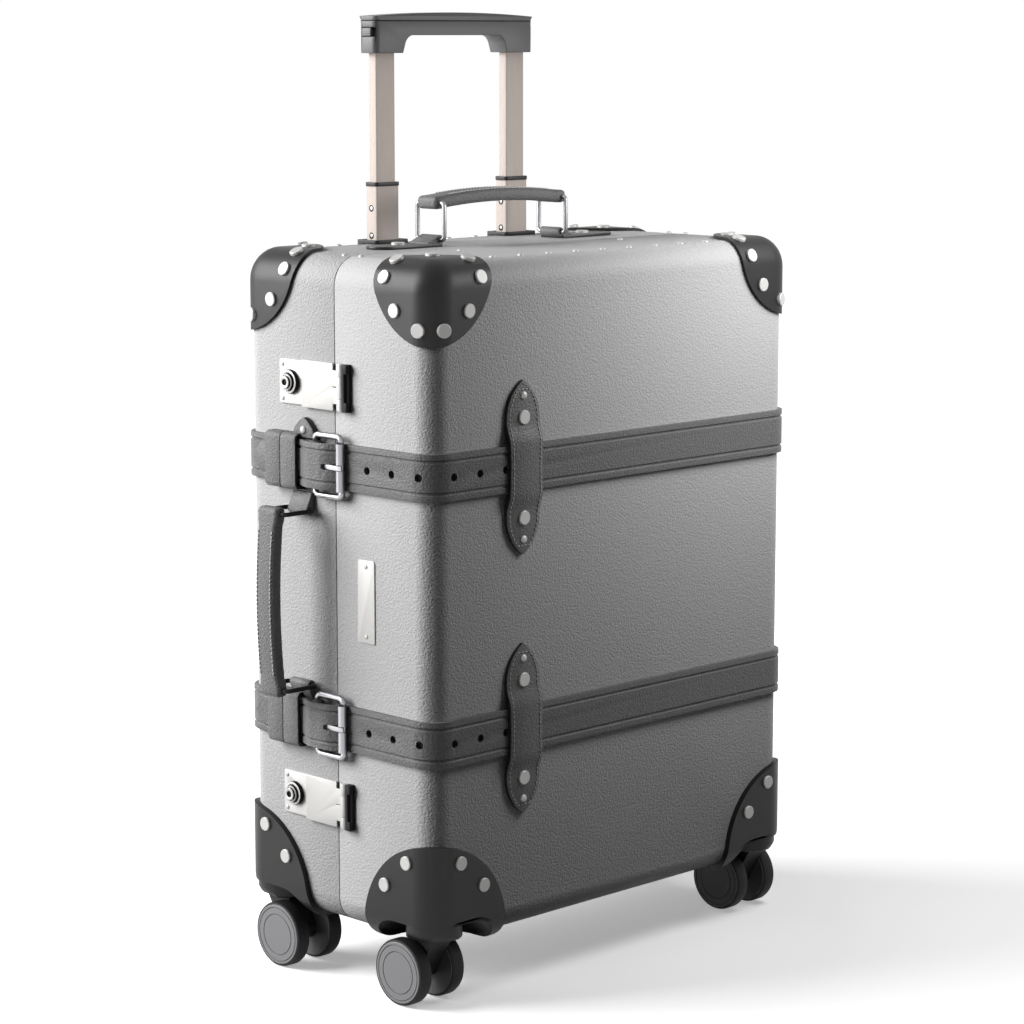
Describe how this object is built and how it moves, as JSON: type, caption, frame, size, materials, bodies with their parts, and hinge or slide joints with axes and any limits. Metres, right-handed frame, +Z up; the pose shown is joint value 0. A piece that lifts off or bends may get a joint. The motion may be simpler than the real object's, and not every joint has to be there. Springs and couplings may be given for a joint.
{
  "type": "carry-on suitcase",
  "caption": "Grey carry-on suitcase with buckled leather straps, riveted black corners, snap locks, a telescopic trolley handle and swivel casters; the lid opens flat.",
  "frame": {"origin": "on the floor under the middle of the case, in the plane of the seam between lid and base", "axes": "+X along the wide faces to the hinge side, +Y from the lid to the trolley side, +Z up"},
  "size_m": [0.4427, 0.2178, 0.723],
  "materials": {
    "grained_shell": "pebble-grained coating over moulded board, satin",
    "corner_black": "satin black moulded corner",
    "nickel": "polished nickel plate",
    "gunmetal": "dark plated steel wire",
    "hinge_steel": "brushed steel",
    "strap_leather": "grained grey leather with waxed edges",
    "lining_cloth": "woven lining cloth",
    "panel_board": "cloth-covered board",
    "post_aluminium": "champagne anodised",
    "grip_plastic": "fine textured grey plastic",
    "trim_black": "matt black plastic",
    "wheel_rubber": "black rubber tread round a grey hub"
  },
  "bodies": {
    "base": {"base_shell": "grained_shell", "base_rim": "trim_black", "base_lining": "lining_cloth", "base_floor_panel": "panel_board", "trolley_outer_tubes": "post_aluminium", "trolley_bezels": "trim_black", "trolley_foot_bracket": "trim_black", "base_top_corners": "corner_black", "base_wheel_corners": "corner_black", "base_rivets": "nickel", "base_straps": "strap_leather", "strap_tails": "strap_leather", "strap_keepers": "strap_leather", "back_loops": "strap_leather", "handle_tabs": "strap_leather", "lock_plates": "nickel", "base_hinge_leaves": "hinge_steel", "hinge_pins": "hinge_steel"},
    "lid": {"lid_shell": "grained_shell", "lid_lining": "lining_cloth", "lid_top_corners": "corner_black", "lid_wheel_corners": "corner_black", "lid_rivets": "nickel", "lid_straps": "strap_leather", "lid_loops": "strap_leather", "nameplate": "nickel", "hasp_hinge_blocks": "nickel", "lid_hinge_leaves": "hinge_steel"},
    "trolley_middle": {"trolley_middle_tubes": "post_aluminium", "trolley_collars": "trim_black"},
    "trolley_inner": {"trolley_inner_tubes": "post_aluminium", "trolley_grip": "grip_plastic"},
    "upper_hasp": {"upper_hasp": "nickel"},
    "upper_lock_button": {"upper_lock_button": "nickel"},
    "upper_buckle_frame": {"upper_buckle_frame": "nickel"},
    "upper_buckle_prong": {"upper_buckle_prong": "nickel"},
    "lower_hasp": {"lower_hasp": "nickel"},
    "lower_lock_button": {"lower_lock_button": "nickel"},
    "lower_buckle_frame": {"lower_buckle_frame": "nickel"},
    "lower_buckle_prong": {"lower_buckle_prong": "nickel"},
    "top_handle_ring_left": {"top_handle_ring_left": "gunmetal"},
    "grip_button_left": {"grip_button_left": "trim_black"},
    "top_handle_ring_right": {"top_handle_ring_right": "gunmetal"},
    "grip_button_right": {"grip_button_right": "trim_black"},
    "side_handle_ring_lower": {"side_handle_ring_lower": "gunmetal"},
    "side_handle_ring_upper": {"side_handle_ring_upper": "gunmetal"},
    "top_handle_grip": {"top_handle_grip": "strap_leather"},
    "side_handle_grip": {"side_handle_grip": "strap_leather"},
    "caster_fork_front_left": {"caster_fork_front_left": "trim_black"},
    "wheel_front_left_outer": {"wheel_front_left_outer": "wheel_rubber"},
    "wheel_front_left_inner": {"wheel_front_left_inner": "wheel_rubber"},
    "caster_fork_front_right": {"caster_fork_front_right": "trim_black"},
    "wheel_front_right_outer": {"wheel_front_right_outer": "wheel_rubber"},
    "wheel_front_right_inner": {"wheel_front_right_inner": "wheel_rubber"},
    "caster_fork_back_left": {"caster_fork_back_left": "trim_black"},
    "wheel_back_left_outer": {"wheel_back_left_outer": "wheel_rubber"},
    "wheel_back_left_inner": {"wheel_back_left_inner": "wheel_rubber"},
    "caster_fork_back_right": {"caster_fork_back_right": "trim_black"},
    "wheel_back_right_outer": {"wheel_back_right_outer": "wheel_rubber"},
    "wheel_back_right_inner": {"wheel_back_right_inner": "wheel_rubber"}
  },
  "joints": [
    {"name": "lid_hinge", "type": "hinge", "parent": "base", "child": "lid", "pos_m": [0.2025, 0, 0.3], "axis": [0, 0, 1], "range_deg": [0, 180]},
    {"name": "upper_hasp_hinge", "type": "hinge", "parent": "lid", "child": "upper_hasp", "pos_m": [-0.198, -0.01, 0.4525], "axis": [0, 0, 1], "range_deg": [0, 110]},
    {"name": "upper_lock_press", "type": "slide", "parent": "base", "child": "upper_lock_button", "axis": [1, 0, 0], "range_m": [0, 0.0014], "stiffness_N_per_m": 400, "springref_m": -0.001},
    {"name": "lower_hasp_hinge", "type": "hinge", "parent": "lid", "child": "lower_hasp", "pos_m": [-0.198, -0.01, 0.14], "axis": [0, 0, 1], "range_deg": [0, 110]},
    {"name": "lower_lock_press", "type": "slide", "parent": "base", "child": "lower_lock_button", "axis": [1, 0, 0], "range_m": [0, 0.0014], "stiffness_N_per_m": 400, "springref_m": -0.001},
    {"name": "upper_buckle_swing", "type": "hinge", "parent": "base", "child": "upper_buckle_frame", "pos_m": [-0.2007, 0.016, 0.3945], "axis": [0, 0, -1], "range_deg": [0, 80], "deforming": ["strap_tails"]},
    {"name": "upper_prong_swing", "type": "hinge", "parent": "upper_buckle_frame", "child": "upper_buckle_prong", "pos_m": [-0.2007, 0.016, 0.3945], "axis": [0, 0, -1], "range_deg": [0, 60], "deforming": ["strap_tails"]},
    {"name": "lower_buckle_swing", "type": "hinge", "parent": "base", "child": "lower_buckle_frame", "pos_m": [-0.2007, 0.016, 0.1998], "axis": [0, 0, -1], "range_deg": [0, 80], "deforming": ["strap_tails"]},
    {"name": "lower_prong_swing", "type": "hinge", "parent": "lower_buckle_frame", "child": "lower_buckle_prong", "pos_m": [-0.2007, 0.016, 0.1998], "axis": [0, 0, -1], "range_deg": [0, 60], "deforming": ["strap_tails"]},
    {"name": "top_ring_left_swing", "type": "hinge", "parent": "base", "child": "top_handle_ring_left", "pos_m": [-0.066, 0.034, 0.552], "axis": [0, 1, 0], "range_deg": [-60, 60]},
    {"name": "top_ring_right_swing", "type": "hinge", "parent": "base", "child": "top_handle_ring_right", "pos_m": [0.066, 0.034, 0.552], "axis": [0, 1, 0], "range_deg": [-60, 60]},
    {"name": "top_grip_swing", "type": "hinge", "parent": "top_handle_ring_left", "child": "top_handle_grip", "pos_m": [-0.066, 0.034, 0.58], "axis": [0, 1, 0], "range_deg": [-60, 60]},
    {"name": "side_ring_lower_swing", "type": "hinge", "parent": "base", "child": "side_handle_ring_lower", "pos_m": [-0.2, 0.034, 0.227], "axis": [0, 1, 0], "range_deg": [-35, 35]},
    {"name": "side_ring_upper_swing", "type": "hinge", "parent": "base", "child": "side_handle_ring_upper", "pos_m": [-0.2, 0.034, 0.359], "axis": [0, 1, 0], "range_deg": [-35, 35]},
    {"name": "side_grip_swing", "type": "hinge", "parent": "side_handle_ring_lower", "child": "side_handle_grip", "pos_m": [-0.228, 0.034, 0.227], "axis": [0, 1, 0], "range_deg": [-35, 35]},
    {"name": "trolley_middle_slide", "type": "slide", "parent": "base", "child": "trolley_middle", "axis": [0, 0, 1], "range_m": [-0.0405, 0.15]},
    {"name": "trolley_inner_slide", "type": "slide", "parent": "trolley_middle", "child": "trolley_inner", "axis": [0, 0, 1], "range_m": [-0.0975, 0.15]},
    {"name": "grip_button_left_press", "type": "slide", "parent": "trolley_inner", "child": "grip_button_left", "axis": [1, 0, 0], "range_m": [0, 0.002], "stiffness_N_per_m": 400, "springref_m": -0.001},
    {"name": "grip_button_right_press", "type": "slide", "parent": "trolley_inner", "child": "grip_button_right", "axis": [-1, 0, 0], "range_m": [0, 0.002], "stiffness_N_per_m": 400, "springref_m": -0.001},
    {"name": "front_left_swivel", "type": "hinge", "parent": "lid", "child": "caster_fork_front_left", "pos_m": [-0.1765, -0.0835, 0.06], "axis": [0, 0, 1], "continuous": true},
    {"name": "front_left_outer_roll", "type": "hinge", "parent": "caster_fork_front_left", "child": "wheel_front_left_outer", "pos_m": [-0.1765, -0.0679, 0.025], "axis": [1, 0, 0], "continuous": true},
    {"name": "front_left_inner_roll", "type": "hinge", "parent": "caster_fork_front_left", "child": "wheel_front_left_inner", "pos_m": [-0.1765, -0.0679, 0.025], "axis": [1, 0, 0], "continuous": true},
    {"name": "front_right_swivel", "type": "hinge", "parent": "lid", "child": "caster_fork_front_right", "pos_m": [0.1765, -0.0835, 0.06], "axis": [0, 0, 1], "continuous": true},
    {"name": "front_right_outer_roll", "type": "hinge", "parent": "caster_fork_front_right", "child": "wheel_front_right_outer", "pos_m": [0.1765, -0.0679, 0.025], "axis": [1, 0, 0], "continuous": true},
    {"name": "front_right_inner_roll", "type": "hinge", "parent": "caster_fork_front_right", "child": "wheel_front_right_inner", "pos_m": [0.1765, -0.0679, 0.025], "axis": [1, 0, 0], "continuous": true},
    {"name": "back_left_swivel", "type": "hinge", "parent": "base", "child": "caster_fork_back_left", "pos_m": [-0.1765, 0.0835, 0.06], "axis": [0, 0, 1], "continuous": true},
    {"name": "back_left_outer_roll", "type": "hinge", "parent": "caster_fork_back_left", "child": "wheel_back_left_outer", "pos_m": [-0.1765, 0.0679, 0.025], "axis": [1, 0, 0], "continuous": true},
    {"name": "back_left_inner_roll", "type": "hinge", "parent": "caster_fork_back_left", "child": "wheel_back_left_inner", "pos_m": [-0.1765, 0.0679, 0.025], "axis": [1, 0, 0], "continuous": true},
    {"name": "back_right_swivel", "type": "hinge", "parent": "base", "child": "caster_fork_back_right", "pos_m": [0.1765, 0.0835, 0.06], "axis": [0, 0, 1], "continuous": true},
    {"name": "back_right_outer_roll", "type": "hinge", "parent": "caster_fork_back_right", "child": "wheel_back_right_outer", "pos_m": [0.1765, 0.0679, 0.025], "axis": [1, 0, 0], "continuous": true},
    {"name": "back_right_inner_roll", "type": "hinge", "parent": "caster_fork_back_right", "child": "wheel_back_right_inner", "pos_m": [0.1765, 0.0679, 0.025], "axis": [1, 0, 0], "continuous": true}
  ],
  "couplings": [
    {"joint": "top_ring_right_swing", "follows": "top_ring_left_swing", "ratio": 1},
    {"joint": "top_grip_swing", "follows": "top_ring_left_swing", "ratio": -1},
    {"joint": "side_ring_upper_swing", "follows": "side_ring_lower_swing", "ratio": 1},
    {"joint": "side_grip_swing", "follows": "side_ring_lower_swing", "ratio": -1}
  ]
}
